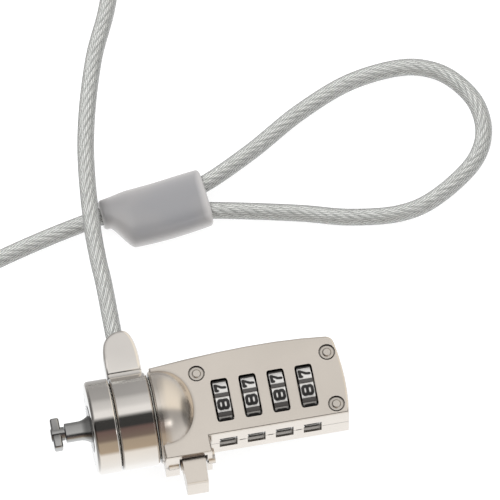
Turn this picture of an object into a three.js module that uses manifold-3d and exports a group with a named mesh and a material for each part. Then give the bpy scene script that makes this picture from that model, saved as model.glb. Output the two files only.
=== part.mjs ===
// Laptop cable lock: a four-dial combination lock on a coiled steel cable with a crimped anchor loop.
// Millimetres. +X runs from the T-bar along the barrel to the dials, +Z leaves the dial face, and the
// cable socket points along +Y. The origin is the centre of the T-bar's front face, on the barrel's axis.
// Inside the lock's group, X is counted from the nose face that seats on the laptop.
import * as THREE from 'three';
import { mergeVertices } from 'three/addons/utils/BufferGeometryUtils.js';
import Module from 'manifold-3d';

const wasm = await Module();
wasm.setup();

// Driving dimensions, mm.
const GAP = 0.3;                  // running clearance between neighbouring pieces
const PART_LINE = 0.06;           // half the slit between the two shells

const RING_R = 9.72;              // nose cap and swivel collar
const CAP_LENGTH = 4.85;
const COLLAR = { start: 5.15, end: 12.85, r: 9.68 };
const BARREL = { r: 5.0, bore: 3.6, start: 2.6, end: 16.2, flangeR: 6.4, flange: 0.7 };

const SHELL = { half: 5.3, edge: 0.45, start: 13.3, wallEnd: 15.2, cavity: 3.8, end: 53.0 };
const SHELL_TOP = { left: 9.07, middle: 10.45, right: 9.35 };
const SHELL_LOW = { block: -11.3, dials: -7.75 };
const BLOCK_END = 23.3;           // right end of the deeper lever block
const DOME = { x: 14.4, length: 7.9, r: 9.72, fullness: 2.25 };   // fullness 2 is an ellipse
const DOME_HOLLOW = { length: 6.8, r: 8.4 };

const DIAL = { count: 4, first: 27.3, pitch: 5.83, axisY: -0.55, r: 6.6, land: 6.35, bore: 4.0, half: 1.4 };
const FIRST_RIB = 84;             // degrees from +Y towards +Z; the other nine ribs follow evenly
const DIAL_POCKET = { r: 7.1, half: 1.8, corner: 0.45 };
const SIDE_SLOT = { half: 1.85, halfHeight: 2.2 };
const INDEX_MARK = { half: 0.55, halfHeight: 0.2, depth: 0.2 };   // notches between the side slots
const CAM = { r: DIAL.bore - GAP, bore: 2.3, notch: 0.65 };
const CODE_SHAFT = { r: 1.9, headR: 3.0, start: 22.9, end: 48.2, finR: 2.9, fin: 1.0, travel: 1.2 };
const DETENT = { start: 25.4, end: 47.2, half: 1.9 };

const RIVETS = [[23.1, 6.1], [50.2, 6.0], [50.1, -5.5]];
const RIVET = { shank: 0.85, head: 1.45, nub: 0.95, counterbore: 1.75, depth: 0.5 };
const RESET = { r: 1.8, flangeR: 2.5, start: 50.6, end: 52.9 };

const LEVER_PIVOT_Y = -10.2;
const LEVER = { left: 17.0, right: 21.8, tipLeft: 17.15, tipRight: 21.5, root: -0.9, tip: -6.6 };
const LEVER_TOP = { root: 3.4, tip: 3.15 };
const LEVER_LOW = -2.5;
const LEVER_HUB = { r: 2.0, end: 20.2 };
const PIN = { r: 0.9, start: 15.0, end: 23.0 };
const KNUCKLE_R = 1.6;
const NOTCH = { left: 16.5, right: 22.3, inner: -9.0 };

const GEAR = { start: 16.7, end: 18.9, ratio: 3, teeth: 9, addendum: 0.42, dedendum: 0.72 };
const GEAR_SWING = 30;            // lever travel in degrees; the T-bar turns GEAR.ratio times as far
const PINION_R = -LEVER_PIVOT_Y / (GEAR.ratio + 1);
const SECTOR_R = PINION_R * GEAR.ratio;

const T_FACE = -8.25;             // front of the T-bar's hub
const T_HEAD = { start: -8.0, end: -6.15, halfLength: 3.3, halfWidth: 1.3, hubEnd: -5.42, hubR: 1.3 };
const T_SHAFT = { neck: 0.7, body: 1.5, step: 2.8, gearR: 0.9, gearStart: 16.5, end: 20.4 };
const GUARD = { end: -5.3, halfHeight: 1.85, halfWidth: 1.35, bore: 1.0, flangeR: 5.0 };

const SOCKET = { x: 8.75, half: 3.65, foot: 9.7, shoulder: 13.8, top: 19.2, depth: 3.4, saddle: 3.1 };
const CABLE_R = 1.75;
const CHANNEL_R = CABLE_R + GAP;
const CABLE_X = 8.3;              // where the cable leaves the socket
const TABLE_Z = -9.9;             // lowest point of the resting cable
const CABLE_Z = TABLE_Z + CABLE_R;
const FLEX = { y: 31.0, gap: 0.5 };   // the lead's bending point, and each side's room to bend
const STOP = { r: 2.45, start: 10.6, end: 14.0 };

const COIL = { x: -75, y: 135, lead: 104, inner: 50, outer: 111.6 };
const COIL_ANGLE = { lead: -25, inner: 150, leave: 645 };
const SLEEVE = { x: 22.5, y: 47.6, turn: 6, left: -11.6, right: 10.8, half: 5.7, height: 3.5 };
const NECK = { low: -0.2, high: 5.1, height: 2.6 };   // the sleeve's narrow end, off to one side
const CRIMP = { start: -5.6, end: 6.4, half: 4.5, height: 2.6, holes: [-2.05, 2.4] };
const STRAND = { neck: 1.9, mouths: [-3.0, 2.9] };   // where the strands cross the ends of the sleeve
const SLEEVE_Z = TABLE_Z + SLEEVE.height;

const metal = (color, roughness) => new THREE.MeshStandardMaterial({ color, roughness, metalness: 1 });
const plastic = (color, roughness) => new THREE.MeshStandardMaterial({ color, roughness, metalness: 0 });
const MATERIAL = {
  housing: () => metal(0xcfc8c0, 0.32),
  polished: () => metal(0xd6d2cc, 0.1),
  steel: () => metal(0xb4b3b0, 0.28),
  dial: () => metal(0xc9c7c2, 0.25),
  brass: () => metal(0xc2a25a, 0.35),
  spring: () => metal(0x8f8f8c, 0.35),
  nylon: () => plastic(0xe9e6dc, 0.55),
  crimp: () => metal(0xa9abad, 0.45),
  cable: () => plastic(0xc4c8c3, 0.3),
  cover: () => plastic(0xa5a3a3, 0.4),
};

// ---------------------------------------------------------------------------------------------
// Solids

/** A closed three.js geometry as a solid that can be joined and cut. */
function solid(geometry) {
  const bare = geometry.clone();
  bare.deleteAttribute('normal');
  bare.deleteAttribute('uv');
  const merged = mergeVertices(bare, 1e-4);
  const position = merged.getAttribute('position');
  const corner = (i) => new THREE.Vector3().fromBufferAttribute(position, i);
  const triangles = [];
  let volume = 0;
  for (let i = 0; i < merged.index.count; i += 3) {
    const [a, b, c] = [0, 1, 2].map((k) => merged.index.getX(i + k));
    if (a === b || b === c || c === a) continue;
    triangles.push(a, b, c);
    volume += corner(a).dot(corner(b).cross(corner(c)));
  }
  if (volume < 0) triangles.reverse();
  const mesh = new wasm.Mesh({
    numProp: 3,
    vertProperties: Float32Array.from(position.array),
    triVerts: Uint32Array.from(triangles),
  });
  return new wasm.Manifold(mesh);
}

/** The surface of a solid as an indexed three.js geometry. */
function surface(body) {
  const mesh = body.getMesh();
  const geometry = new THREE.BufferGeometry();
  geometry.setAttribute('position', new THREE.BufferAttribute(mesh.vertProperties, 3));
  geometry.setIndex(new THREE.BufferAttribute(mesh.triVerts, 1));
  geometry.computeVertexNormals();
  return geometry;
}

const join = (...bodies) => bodies.reduce((all, body) => all.add(body));
const cut = (body, ...tools) => tools.reduce((rest, tool) => rest.subtract(tool), body);

/** A box between two opposite corners. */
function box(low, high) {
  const size = high.map((value, i) => value - low[i]);
  const middle = high.map((value, i) => (value + low[i]) / 2);
  return solid(new THREE.BoxGeometry(...size).translate(...middle));
}

/** A solid turned about the X axis from [x, radius] points; a ring's profile closes on itself. */
function turned(profile, segments = 40) {
  const touchesAxis = profile[0][1] === 0 && profile.at(-1)[1] === 0;
  const loop = touchesAxis ? profile : [...profile, profile[0]];
  const points = loop.map(([x, r]) => new THREE.Vector2(r, x));
  return solid(new THREE.LatheGeometry(points, segments).rotateZ(-Math.PI / 2));
}

const rod = (start, end, r, segments) =>
  turned([[start, 0], [start, r], [end, r], [end, 0]], segments);
const ring = (start, end, inner, outer, segments) =>
  turned([[start, inner], [start, outer], [end, outer], [end, inner]], segments);

/** An outline in Y and Z pushed along X from start to end. */
function alongX(outline, start, end) {
  const flat = new THREE.ExtrudeGeometry(polygon(outline), { depth: end - start, bevelEnabled: false });
  const basis = new THREE.Matrix4().makeBasis(
    new THREE.Vector3(0, 1, 0), new THREE.Vector3(0, 0, 1), new THREE.Vector3(1, 0, 0));
  return solid(flat.applyMatrix4(basis).translate(start, 0, 0));
}

const polygon = (corners) => new THREE.Shape(corners.map(([x, y]) => new THREE.Vector2(x, y)));

/** A shape in X and Y made into a slab with rounded edges between two heights. */
function slab(shape, low, high, edge, curveSegments = 6) {
  const settings = {
    depth: high - low - 2 * edge, curveSegments,
    bevelEnabled: edge > 0, bevelThickness: edge, bevelSize: edge, bevelOffset: -edge, bevelSegments: 2,
  };
  return solid(new THREE.ExtrudeGeometry(shape, settings).translate(0, 0, low + edge));
}

/** Half of a superellipsoid about the X axis, from its widest plane at x to its tip at x + length. */
function dome(x, length, r, fullness, around, along) {
  const arc = Array.from({ length: along }, (_, i) => {
    const angle = Math.PI / 2 * i / along;
    return [x + length * Math.sin(angle) ** (2 / fullness), r * Math.cos(angle) ** (2 / fullness)];
  });
  return turned([[x, 0], ...arc, [x + length, 0]], around);
}

const polar = (r, degrees) => {
  const angle = THREE.MathUtils.degToRad(degrees);
  return [r * Math.cos(angle), r * Math.sin(angle)];
};

/** A round bar along a curve. */
function bar(curve, r, sides, spacing) {
  const circle = Array.from({ length: sides }, (_, i) => new THREE.Vector2(...polar(r, 360 * i / sides)));
  const steps = Math.ceil(curve.getLength() / spacing);
  return solid(new THREE.ExtrudeGeometry(new THREE.Shape(circle), { steps, extrudePath: curve }));
}

/** A coil spring about the X axis. */
function spring(start, end, r, wire, turns) {
  const stations = turns * 12;
  const points = Array.from({ length: stations + 1 }, (_, i) => {
    const share = i / stations;
    const [y, z] = polar(r, 360 * turns * share);
    return new THREE.Vector3(start + (end - start) * share, y, z);
  });
  return bar(new THREE.CatmullRomCurve3(points), wire, 6, 1.0);
}

/** A named piece with its own material, added to its group. */
function piece(parent, name, body, material, position = [0, 0, 0]) {
  const mesh = new THREE.Mesh(surface(body), material);
  mesh.name = name;
  mesh.position.set(...position);
  parent.add(mesh);
}

function group(parent, position = [0, 0, 0]) {
  const child = new THREE.Group();
  child.position.set(...position);
  parent.add(child);
  return child;
}

// ---------------------------------------------------------------------------------------------
// Housing

const dialX = (i) => DIAL.first + i * DIAL.pitch;
const dialNumbers = Array.from({ length: DIAL.count }, (_, i) => i);

/** The outline of both shells seen from the dial face. */
function housingOutline() {
  const corner = 1.2;
  const left = SHELL.start + 0.4;
  const shape = new THREE.Shape();
  shape.moveTo(left, SHELL_LOW.block);
  shape.lineTo(BLOCK_END, SHELL_LOW.block);
  shape.lineTo(BLOCK_END, SHELL_LOW.dials);
  shape.lineTo(SHELL.end - 0.7, SHELL_LOW.dials);
  shape.quadraticCurveTo(SHELL.end + 0.5, 0, SHELL.end - 1.0, SHELL_TOP.right - corner);
  shape.quadraticCurveTo(SHELL.end - 1.3, SHELL_TOP.right, SHELL.end - 1.3 - corner, SHELL_TOP.right + 0.25);
  shape.quadraticCurveTo(36, SHELL_TOP.middle + 0.9, left, SHELL_TOP.left);
  return shape;
}

/** Everything the two shells are hollowed by. */
function housingHollows() {
  const { wallEnd, cavity } = SHELL;
  const barrelBore = rod(SHELL.start - 1, wallEnd + 1, BARREL.r + GAP, 28);
  const domeHollow = dome(DOME.x, DOME_HOLLOW.length, DOME_HOLLOW.r, DOME.fullness, 20, 6)
    .intersect(box([wallEnd, -10, -10], [DOME.x + DOME_HOLLOW.length, 10, 10]));
  const gearBay = box([wallEnd, NOTCH.inner, -cavity], [20.6, 7.8, cavity]);
  const shaftBay = box([20.5, -6.3, -cavity], [24.4, 3.4, cavity]);
  const leverBay = box([NOTCH.left, -13, -6], [NOTCH.right, -6.4, cavity]);
  const backRelief = box([NOTCH.left, -13, -6], [NOTCH.right, NOTCH.inner, 0]);
  const pinBore = rod(PIN.start - GAP, PIN.end + GAP, PIN.r + GAP, 20).translate([0, LEVER_PIVOT_Y, 0]);
  const codeBore = rod(24, 47.6, CODE_SHAFT.finR + GAP + 0.1, 20).translate([0, DIAL.axisY, 0]);
  const endBay = box([47.4, -4.0, -3.4], [RESET.start + 0.9, 2.6, 3.4]);
  const resetBore = rod(RESET.start, SHELL.end + 1, RESET.r + GAP, 24).translate([0, DIAL.axisY, 0]);
  const detentGroove = box([DETENT.start - GAP, 5.8, -2.3], [DETENT.end + GAP, 7.9, 2.3]);
  return [barrelBore, domeHollow, gearBay, shaftBay, leverBay.subtract(backRelief), backRelief,
    pinBore, codeBore, endBay, resetBore, detentGroove];
}

/** A dial's pocket: its rounded rim leaves rounded corners where it breaks through the faces. */
function dialPocket() {
  const { r, half, corner } = DIAL_POCKET;
  const rim = [0, 45, 90].map((a) => {
    const [across, out] = polar(corner, a);
    return [half - corner + across, r - corner + out];
  });
  const otherRim = rim.map(([x, radius]) => [-x, radius]).reverse();
  return turned([[half, 0], ...rim, ...otherRim, [-half, 0]], 40);
}

function rivetHole() {
  const { half } = SHELL;
  const hole = [[-half - 1, 0], [-half - 1, RIVET.counterbore], [-half + RIVET.depth, RIVET.counterbore],
    [-half + RIVET.depth, RIVET.shank + GAP], [half - RIVET.depth, RIVET.shank + GAP],
    [half - RIVET.depth, RIVET.counterbore], [half + 1, RIVET.counterbore], [half + 1, 0]];
  return turned(hole, 16).rotate([0, -90, 0]);
}

/** The closed housing, before it is split at the parting line. */
function housing() {
  const plate = slab(housingOutline(), -SHELL.half, SHELL.half, SHELL.edge);
  const chamfer = 0.35;
  const flange = turned([[SHELL.start, 0], [SHELL.start, RING_R - chamfer], [SHELL.start + chamfer, RING_R],
    [DOME.x + 0.1, RING_R], [DOME.x + 0.1, 0]], 48);
  const knuckles = [[14.3, NOTCH.left - 0.2], [NOTCH.right + 0.2, 23.9]].map(([start, end]) =>
    rod(start, end, KNUCKLE_R, 24).translate([0, LEVER_PIVOT_Y, 0]));
  const pocket = dialPocket();
  const slots = dialNumbers.map((i) => box(
    [dialX(i) - SIDE_SLOT.half, -8.5, -SIDE_SLOT.halfHeight],
    [dialX(i) + SIDE_SLOT.half, -6.5, SIDE_SLOT.halfHeight]));
  const mark = box([-INDEX_MARK.half, SHELL_LOW.dials - 1, -INDEX_MARK.halfHeight],
    [INDEX_MARK.half, SHELL_LOW.dials + INDEX_MARK.depth, INDEX_MARK.halfHeight]);
  const marks = dialNumbers.slice(1).map((i) => mark.translate([dialX(i) - DIAL.pitch / 2, 0, 0]));
  const pockets = dialNumbers.map((i) => pocket.translate([dialX(i), DIAL.axisY, 0]));
  const holes = RIVETS.map(([x, y]) => rivetHole().translate([x, y, 0]));
  const bulge = dome(DOME.x - 0.1, DOME.length + 0.1, DOME.r, DOME.fullness, 48, 14);
  const body = join(plate, flange, bulge, ...knuckles);
  return cut(body, ...housingHollows(), ...pockets, ...slots, ...marks, ...holes);
}

function housingShells(parent) {
  const whole = housing();
  const far = 30;
  const front = whole.intersect(box([0, -far, PART_LINE], [60, far, far]));
  const back = whole.intersect(box([0, -far, -far], [60, far, -PART_LINE]));
  piece(parent, 'front_shell', front, MATERIAL.housing());
  piece(parent, 'back_shell', back, MATERIAL.housing());
}

function rivets(parent) {
  const { half } = SHELL;
  const seat = half - RIVET.depth + 0.05;
  const profile = [[-seat - 0.3, 0], [-seat - 0.3, RIVET.head], [-seat, RIVET.head], [-seat, RIVET.shank],
    [seat, RIVET.shank], [seat, RIVET.head], [seat + 0.25, RIVET.head], [seat + 0.25, RIVET.nub],
    [seat + 0.5, RIVET.nub - 0.2], [seat + 0.5, 0]];
  const rivet = turned(profile, 16).rotate([0, -90, 0]);
  RIVETS.forEach(([x, y], i) => piece(parent, `rivet_${i + 1}`, rivet, MATERIAL.polished(), [x, y, 0]));
}

// ---------------------------------------------------------------------------------------------
// Barrel and nose

function noseCap() {
  const round = 0.8;
  const edge = [0, 45, 90].map((a) => {
    const [out, along] = polar(round, a);
    return [round - along, RING_R - round + out];
  }).reverse();
  const chamfer = 0.35;
  return turned([[0, 3.4], ...edge, [CAP_LENGTH - chamfer, RING_R], [CAP_LENGTH, RING_R - chamfer],
    [CAP_LENGTH, BARREL.r + GAP], [0.6, BARREL.r + GAP], [0.6, 3.4]], 48);
}

/** Steel insert: a flared sleeve round the T-bar's neck that fills the laptop's slot. */
function guardInsert() {
  const { end, halfHeight, halfWidth, bore, flangeR } = GUARD;
  const flare = [[-3.4, halfHeight], [-2.2, 1.95], [-1.3, 2.2], [-0.6, 2.65], [-0.2, 3.1]];
  const foot = turned([[-3.4, 0], ...flare, [0.9, 3.1], [0.9, flangeR], [2.3, flangeR], [2.3, 0]], 32);
  const flareWidth = box([-3.4, -3.2, -1.8], [0, 3.2, 1.8]);
  const flange = rod(-0.2, 2.3, flangeR, 32);
  const edge = 0.45;
  const section = [[halfHeight, halfWidth - edge], [halfHeight - edge, halfWidth]];
  const corners = [section, section.map(([y, z]) => [-y, z]).reverse(), section.map(([y, z]) => [-y, -z]),
    section.map(([y, z]) => [y, -z]).reverse()].flat();
  const neck = alongX(corners, end, 0.5);
  return cut(join(neck, foot.intersect(join(flareWidth, flange))), rod(end - 1, 3, bore, 20));
}

function barrelTube() {
  const { r, bore, start, end, flangeR, flange } = BARREL;
  return turned([[start, bore], [start, r], [end - flange, r], [end - flange, flangeR], [end, flangeR],
    [end, bore]], 28);
}

function barrel(parent) {
  piece(parent, 'nose_cap', noseCap(), MATERIAL.polished());
  piece(parent, 'guard_insert', guardInsert(), MATERIAL.steel());
  piece(parent, 'barrel_tube', barrelTube(), MATERIAL.steel());
  const bush = ring(0, 3, T_SHAFT.body + GAP, BARREL.bore - GAP, 20);
  piece(parent, 'front_bush', bush, MATERIAL.brass(), [3.1, 0, 0]);
  piece(parent, 'rear_bush', bush, MATERIAL.brass(), [12.4, 0, 0]);
  const washer = ring(0, 0.16, BARREL.r + GAP, 8.6, 24);
  piece(parent, 'front_washer', washer, MATERIAL.nylon(), [CAP_LENGTH + 0.07, 0, 0]);
  piece(parent, 'rear_washer', washer, MATERIAL.nylon(), [COLLAR.end + 0.145, 0, 0]);
}

// ---------------------------------------------------------------------------------------------
// Swivel collar and its socket

/** A round-topped boss for the cable, flat in front, on a lower saddle that meets the ring. */
function socketBoss() {
  const { half, foot, shoulder, top, depth, saddle } = SOCKET;
  const shape = new THREE.Shape();
  shape.moveTo(-half, foot);
  shape.lineTo(half, foot);
  shape.lineTo(half, shoulder - 0.6);
  shape.quadraticCurveTo(half - 0.4, top, 0.9, top);
  shape.quadraticCurveTo(-half + 0.1, top, -half, shoulder);
  const base = polygon([[-half, 6.5], [half, 6.5], [half, foot + 1], [-half, foot + 1]]);
  return join(slab(shape, -depth, depth, 0.8, 8), slab(base, -saddle, saddle, 0.5, 1));
}

function swivelCollar(parent) {
  const { start, end, r } = COLLAR;
  const chamfer = 0.4;
  const tyre = turned([[start, 0], [start, r - chamfer], [start + chamfer, r], [end - chamfer, r],
    [end, r - chamfer], [end, 0]], 48);
  const boss = socketBoss().translate([SOCKET.x, 0, 0]);
  const channel = rod(-25, 0, CHANNEL_R, 20).rotate([0, 0, -90]).translate([CABLE_X, 0, 0]);
  const stopBay = rod(-STOP.end - GAP, 0, STOP.r + GAP, 24).rotate([0, 0, -90]).translate([CABLE_X, 0, 0]);
  const bore = rod(start - 1, end + 1, BARREL.r + GAP, 28);
  piece(parent, 'swivel_collar', cut(join(tyre, boss), bore, channel, stopBay), MATERIAL.polished());
  const stop = ring(-STOP.end, -STOP.start, CHANNEL_R, STOP.r, 24).rotate([0, 0, -90]);
  piece(parent, 'cable_stop', stop, MATERIAL.crimp(), [CABLE_X, 0, 0]);
}

// ---------------------------------------------------------------------------------------------
// Dials and code shaft

/** One ring with ten flat number lands and a raised rib between each pair. */
function dialRing() {
  const lands = 10;
  const step = 360 / lands;
  const outline = Array.from({ length: lands }, (_, i) => {
    const middle = FIRST_RIB + i * step;
    const rib = [-4.6, -3.4, 3.4, 4.6].map((a, k) => polar(k % 3 ? DIAL.r : DIAL.land, middle + a));
    return [...rib, polar(DIAL.land, middle + step / 2)];
  }).flat();
  const rim = ring(-DIAL.half, DIAL.half, DIAL.bore, DIAL.r + 1, 28);
  return alongX(outline, -DIAL.half, DIAL.half).intersect(rim);
}

function cam() {
  const notch = box([-3, 0, -CAM.notch], [3, CAM.bore + 0.8, CAM.notch]);
  return cut(ring(-DIAL.half, DIAL.half, CAM.bore, CAM.r, 20), notch);
}

function dials(parent) {
  const dial = dialRing();
  const sleeve = cam();
  dialNumbers.forEach((i) => {
    const place = group(parent, [dialX(i), DIAL.axisY, 0]);
    piece(place, `dial_${i + 1}`, dial, MATERIAL.dial());
    piece(place, `cam_${i + 1}`, sleeve, MATERIAL.brass());
  });
}

/** The shaft that the cams block: its fins pass their notches only on the right code. */
function codeShaft(parent) {
  const { r, headR, start, end, finR, fin, travel } = CODE_SHAFT;
  const shaft = turned([[start, 0], [start, headR], [start + 0.8, headR], [start + 0.8, r], [end, r],
    [end, 0]], 20);
  const fins = dialNumbers.map((i) => {
    const left = dialX(i) + DIAL.half + GAP + travel;
    return box([left, r - 0.4, -0.35], [left + fin, finR, 0.35]);
  }).slice(0, -1);
  piece(parent, 'code_shaft', join(shaft, ...fins), MATERIAL.steel(), [0, DIAL.axisY, 0]);
}

function detentComb(parent) {
  const { start, end, half } = DETENT;
  const strip = box([start, 7.2, -half], [end, 7.5, half]);
  const fingers = dialNumbers.map((i) => alongX([[7.3, -1.4], [6.25, -0.3], [6.25, 0.3], [7.3, 1.4]],
    dialX(i) - 1.0, dialX(i) + 1.0));
  piece(parent, 'detent_comb', join(strip, ...fingers), MATERIAL.spring());
}

function resetScrew(parent) {
  const { r, flangeR, start, end } = RESET;
  const body = turned([[start, 0], [start, flangeR], [start + 0.6, flangeR], [start + 0.6, r], [end - 0.2, r],
    [end, r - 0.2], [end, 0]], 28);
  const slot = box([end - 0.7, -0.35, -3], [end + 1, 0.35, 3]);
  piece(parent, 'reset_screw', cut(body, slot), MATERIAL.brass(), [0, DIAL.axisY, 0]);
}

// ---------------------------------------------------------------------------------------------
// T-bar and lever

/** The outline of gear teeth on an arc, as [y, z] points from one angle to another. */
function toothOutline(pitchR, teeth, first, last) {
  const pitch = 360 / teeth;
  const root = pitchR - GEAR.dedendum;
  const tip = pitchR + GEAR.addendum;
  const points = [];
  for (let i = first; i <= last; i += 1) {
    const middle = i * pitch;
    points.push(polar(root, middle - 0.24 * pitch), polar(tip, middle - 0.1 * pitch));
    points.push(polar(tip, middle + 0.1 * pitch), polar(root, middle + 0.24 * pitch));
  }
  return points;
}

function tBar(parent) {
  const { start, end, halfLength, halfWidth, hubEnd, hubR } = T_HEAD;
  const edge = 0.25;
  const arms = polygon([[start, -halfLength], [end, -halfLength], [end, halfLength], [start, halfLength]]);
  const head = slab(arms, -halfWidth, halfWidth, edge, 1);
  const hub = turned([[T_FACE, 0], [T_FACE, hubR - 0.2], [start, hubR + 0.1], [hubEnd, hubR + 0.1],
    [hubEnd, 0]], 24);
  const { neck, body, step, gearR, gearStart, end: tail } = T_SHAFT;
  const shaft = turned([[hubEnd - 0.3, 0], [hubEnd - 0.3, neck], [step, neck], [step, body],
    [gearStart, body], [gearStart, gearR], [tail, gearR], [tail, 0]], 28);
  piece(parent, 't_bar', join(head, hub, shaft), MATERIAL.steel());
  // The odd tooth count leaves a space facing the lever, where the sector's last tooth enters.
  const outline = toothOutline(PINION_R, GEAR.teeth, 0, GEAR.teeth - 1);
  const shaftBore = rod(GEAR.start - 1, GEAR.end + 1, gearR + GAP, 20);
  piece(parent, 'pinion', cut(alongX(outline, GEAR.start, GEAR.end), shaftBore), MATERIAL.brass());
}

/** The push lever, built about its pivot, with the toothed sector on its inner end. */
function lever(parent) {
  const pivot = group(parent, [0, LEVER_PIVOT_Y, 0]);
  const { left, right, tipLeft, tipRight, root, tip } = LEVER;
  const side = [[root, LEVER_TOP.root], [tip + 0.3, LEVER_TOP.tip], [tip, LEVER_TOP.tip - 0.5],
    [tip - 0.25, LEVER_LOW + 0.3], [tip, LEVER_LOW], [root, LEVER_LOW]];
  const plan = polygon([[left, 1], [left, root], [tipLeft, tip - 1], [tipRight, tip - 1], [right, root],
    [right, 1]]);
  const block = alongX(side, left - 1, right + 1).intersect(slab(plan, -6, 6, 0));
  const hub = rod(GEAR.start, LEVER_HUB.end, LEVER_HUB.r, 32);
  const teeth = GEAR.teeth * GEAR.ratio;
  const pitch = 360 / teeth;
  const firstTooth = -Math.floor(GEAR_SWING / pitch);
  const lastTooth = 0;
  const rim = toothOutline(SECTOR_R, teeth, firstTooth, lastTooth);
  const sector = alongX([[0, -1.4], ...rim, [0, 1.4]], GEAR.start, GEAR.end);
  const springBay = rod(LEVER_HUB.end, right + 1, LEVER_HUB.r + GAP, 24);
  const whole = cut(join(block, hub, sector), springBay, rod(left - 1, right + 1, PIN.r + GAP, 20));
  piece(pivot, 'lever', whole, MATERIAL.housing());
  piece(pivot, 'lever_pin', rod(PIN.start, PIN.end, PIN.r, 20), MATERIAL.steel());
  const wire = 0.25;
  const coilR = PIN.r + GAP + wire + 0.1;
  const coil = spring(LEVER_HUB.end + 0.5, NOTCH.right - 0.5, coilR, wire, 2);
  piece(pivot, 'lever_spring', coil, MATERIAL.spring());
}

// ---------------------------------------------------------------------------------------------
// Cable, loop and crimped sleeve

const SLEEVE_TURN = THREE.MathUtils.degToRad(SLEEVE.turn);

/** A point of the sleeve's own frame, u along it and v across it, in the lock's frame. */
function sleevePoint(u, v) {
  return new THREE.Vector3(
    SLEEVE.x + u * Math.cos(SLEEVE_TURN) - v * Math.sin(SLEEVE_TURN),
    SLEEVE.y + u * Math.sin(SLEEVE_TURN) + v * Math.cos(SLEEVE_TURN), SLEEVE_Z);
}

const flat = ([x, y], z = CABLE_Z) => new THREE.Vector3(x, y, z);
const smooth = (points) => new THREE.CatmullRomCurve3(points, false, 'centripetal');

/** The coil: it comes down inside itself from the lead, then winds outward on the table. */
function coilPoints() {
  const points = [];
  const station = 15;
  for (let a = COIL_ANGLE.lead + station; a < COIL_ANGLE.leave - station; a += station) {
    const inward = (a - COIL_ANGLE.lead) / (COIL_ANGLE.inner - COIL_ANGLE.lead);
    const outward = (a - COIL_ANGLE.inner) / (COIL_ANGLE.leave - COIL_ANGLE.inner);
    const goingIn = inward < 1;
    const r = goingIn ? THREE.MathUtils.lerp(COIL.lead, COIL.inner, THREE.MathUtils.smoothstep(inward, 0, 1))
      : THREE.MathUtils.lerp(COIL.inner, COIL.outer, outward);
    const drop = THREE.MathUtils.smoothstep(inward, 0.45, 1);
    const [x, y] = polar(r, a);
    const z = goingIn ? THREE.MathUtils.lerp(-3 * inward, CABLE_Z, drop) : CABLE_Z;
    points.push(new THREE.Vector3(COIL.x + x, COIL.y + y, z));
  }
  return points;
}

function coilCurve() {
  const lead = [[8.1, 36.4], [8.25, 45.3], [10.2, 62.9], [14.9, 80.2], [20.2, 92.7]];
  const strand = [[-52, 31], [-30, 37.5], [-11.1, 43.6], [0, 46.6]];
  return smooth([
    flat([CABLE_X, FLEX.y + FLEX.gap], 0), ...lead.map((point) => flat(point, 0)), ...coilPoints(),
    ...strand.map((point) => flat(point)), sleevePoint(SLEEVE.left, STRAND.neck),
    sleevePoint(CRIMP.start, CRIMP.holes[1]), sleevePoint(0, CRIMP.holes[1])]);
}

function loopCurve() {
  const round = [[43.7, 57.7], [55.3, 64.6], [66.7, 69.4], [77.3, 70.7], [82.4, 69.7], [87.0, 66.9],
    [91.3, 60.6], [91.9, 53.7], [88.9, 47.6], [78.4, 40.4], [71.6, 38.8], [61.3, 39.8], [51.3, 42.5]];
  const [lowHole, highHole] = CRIMP.holes;
  const [lowMouth, highMouth] = STRAND.mouths;
  return smooth([
    sleevePoint(GAP, highHole), sleevePoint(CRIMP.end, highHole),
    sleevePoint(SLEEVE.right, highMouth), ...round.map((point) => flat(point)),
    sleevePoint(SLEEVE.right, lowMouth), sleevePoint(CRIMP.end, lowHole),
    sleevePoint(CRIMP.start + 0.5, lowHole)]);
}

/** A straight passage through the sleeve between two [u, v] points of its own frame. */
function passage(from, to, r) {
  const line = new THREE.LineCurve3(new THREE.Vector3(...from, 0), new THREE.Vector3(...to, 0));
  return bar(line, r, 16, 100);
}

/** Soft cover over the crimp: a narrow neck, a shoulder and a wide body, with a passage per strand. */
function sleeveCover() {
  const { left, right, half, height } = SLEEVE;
  const body = polygon([[left + 5.8, -half], [right, -half], [right, half], [left + 4.2, half],
    [left + 3.4, NECK.low]]);
  const neck = polygon([[left, NECK.low], [left + 8, NECK.low - 1.5], [left + 8, half - 0.2],
    [left, NECK.high]]);
  const outer = join(slab(body, -height, height, 1.0), slab(neck, -NECK.height, NECK.height, 1.0));
  const { start, end, half: crimpHalf, height: crimpHeight, holes } = CRIMP;
  const middle = (holes[0] + holes[1]) / 2;
  const crimpBay = box([start - GAP, middle - crimpHalf - GAP, -crimpHeight - GAP],
    [end + GAP, middle + crimpHalf + GAP, crimpHeight + GAP]);
  const neckPassage = passage([left - 1, STRAND.neck], [start, holes[1]], CHANNEL_R);
  const mouths = holes.map((v, i) => passage([end, v], [right + 1, STRAND.mouths[i] * 1.05], CHANNEL_R));
  return cut(outer, crimpBay, neckPassage, ...mouths);
}

/** Aluminium double barrel squeezed on the two strands of the loop. */
function crimp() {
  const { start, end, half, height, holes } = CRIMP;
  const middle = (holes[0] + holes[1]) / 2;
  const plan = polygon([[start, middle - half], [end, middle - half], [end, middle + half],
    [start, middle + half]]);
  const channels = holes.map((v) => passage([start - 1, v], [end + 1, v], CHANNEL_R));
  return cut(slab(plan, -height, height, 0.9, 1), ...channels);
}

function sleeve(parent) {
  const place = group(parent, [SLEEVE.x, SLEEVE.y, SLEEVE_Z]);
  place.rotation.z = SLEEVE_TURN;
  piece(place, 'sleeve_cover', sleeveCover(), MATERIAL.cover());
  piece(place, 'crimp', crimp(), MATERIAL.crimp());
}

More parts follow.
